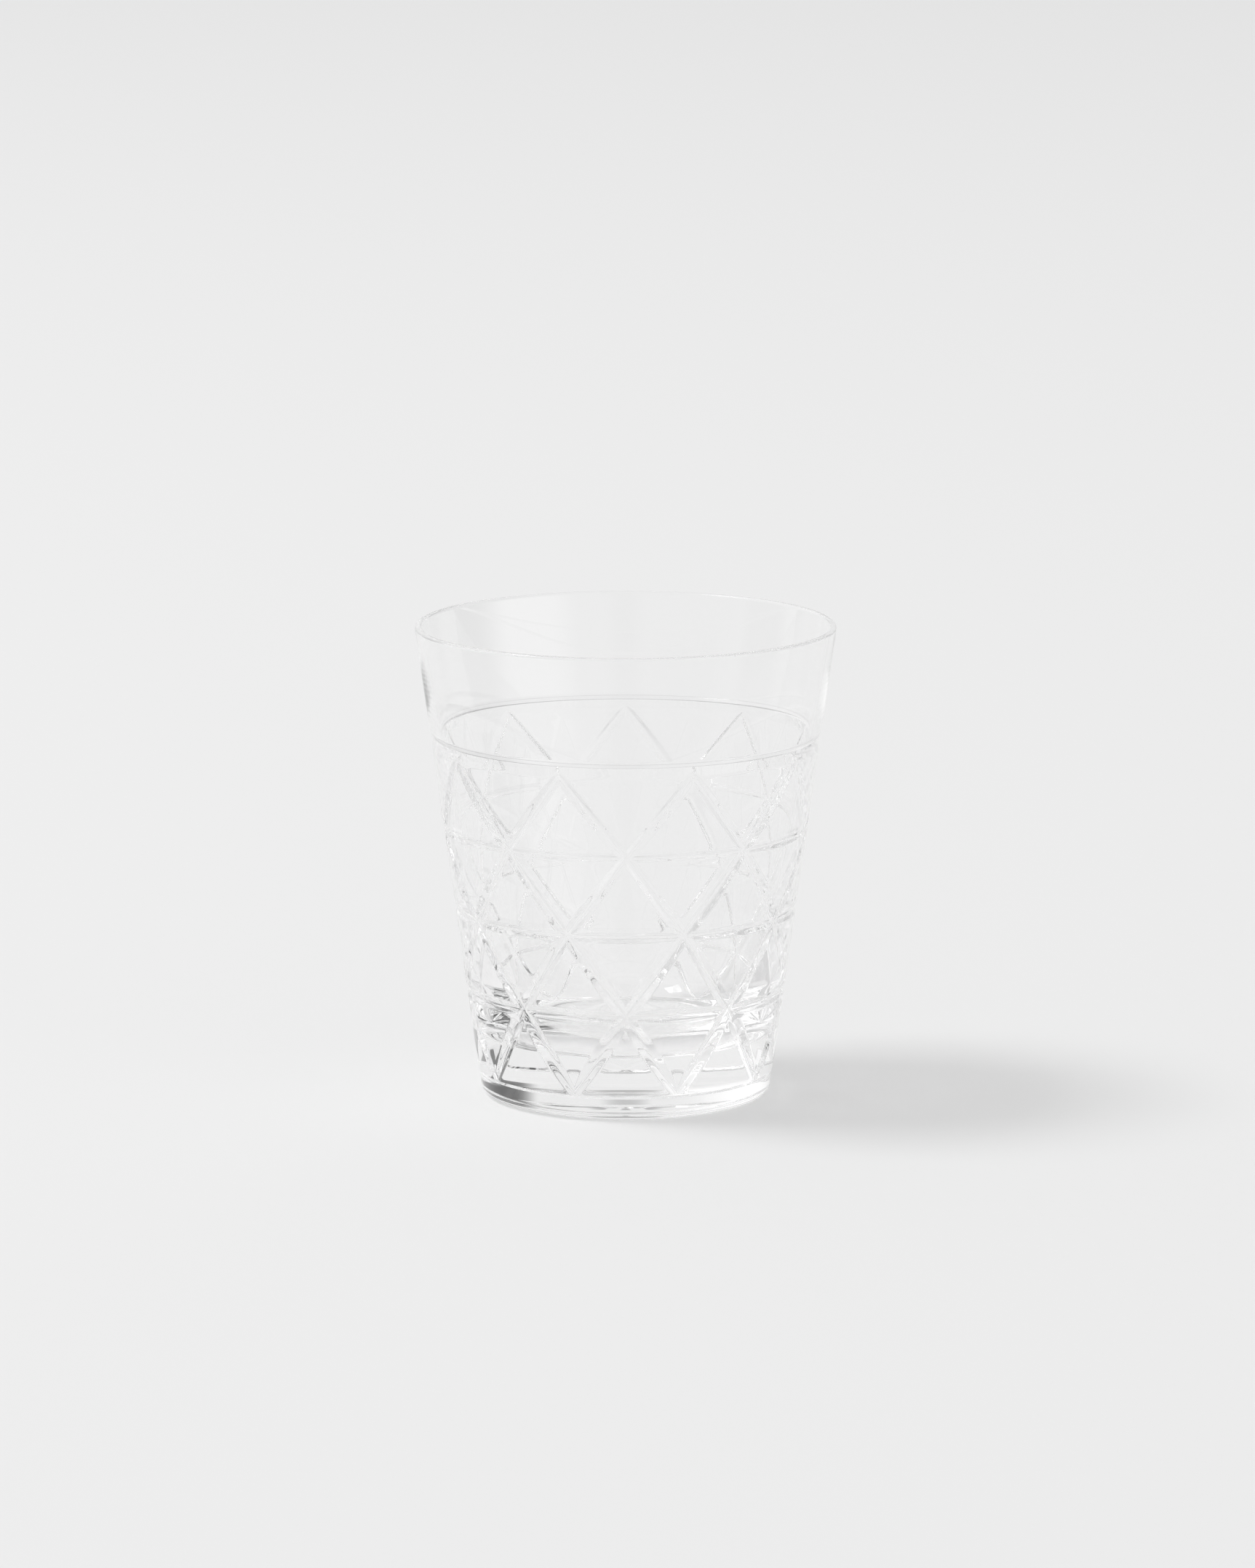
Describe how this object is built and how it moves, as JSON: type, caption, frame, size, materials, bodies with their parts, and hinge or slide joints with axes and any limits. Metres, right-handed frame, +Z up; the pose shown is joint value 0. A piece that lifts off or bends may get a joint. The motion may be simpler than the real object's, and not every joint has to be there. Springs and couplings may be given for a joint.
{
  "type": "whiskey tumbler",
  "caption": "Clear cut-crystal whiskey tumbler: straight flared wall, smooth rim band over a ring groove, triangle lattice of mitre cuts, thick solid base.",
  "frame": {"origin": "centre of the flat ground base, on the surface that the glass stands on", "axes": "+Z up along the glass's axis, out of its mouth; -Y is the side that faces the viewer, with a vertical line of cut crossings in the middle of it"},
  "size_m": [0.0848, 0.0848, 0.096],
  "materials": {
    "crystal": "polished clear crystal, with polished mitre cuts"
  },
  "bodies": {
    "root": {"tumbler": "crystal"}
  },
  "joints": []
}
